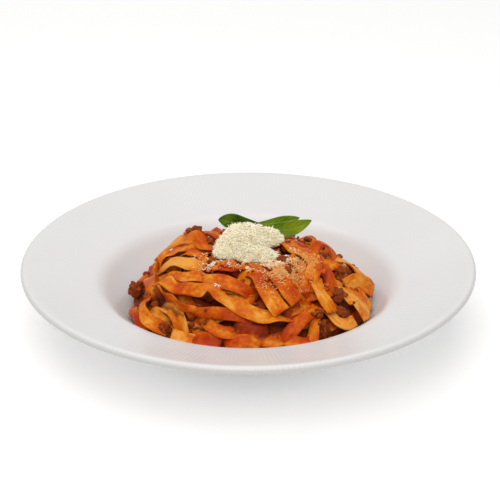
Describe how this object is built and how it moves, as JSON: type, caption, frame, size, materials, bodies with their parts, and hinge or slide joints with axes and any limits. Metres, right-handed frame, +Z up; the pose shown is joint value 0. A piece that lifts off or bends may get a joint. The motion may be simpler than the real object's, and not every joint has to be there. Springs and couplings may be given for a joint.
{
  "type": "fettuccine ragu",
  "caption": "Heap of fettuccine with meat ragu, grated cheese and basil leaves in a wide-rimmed porcelain pasta plate.",
  "frame": {"origin": "centre of the circle that the plate's foot stands on", "axes": "+Z up, -Y towards the side of the heap that faces the viewer, +X to its right"},
  "size_m": [0.27, 0.27, 0.0723],
  "materials": {
    "porcelain": "glossy white glaze",
    "pasta": "moist, coated with tomato sauce",
    "mince": "browned minced meat, moist",
    "cheese": "dry grated hard cheese",
    "basil": "fresh leaf, waxy"
  },
  "bodies": {
    "root": {"bowl": "porcelain", "pasta": "pasta", "meat_01": "mince", "meat_02": "mince", "meat_03": "mince", "meat_04": "mince", "meat_05": "mince", "meat_06": "mince", "meat_07": "mince", "meat_08": "mince", "meat_09": "mince", "meat_10": "mince", "meat_11": "mince", "meat_12": "mince", "meat_13": "mince", "meat_14": "mince", "parmesan": "cheese", "basil_leaf_1": "basil", "basil_leaf_2": "basil", "basil_leaf_3": "basil"}
  },
  "joints": []
}
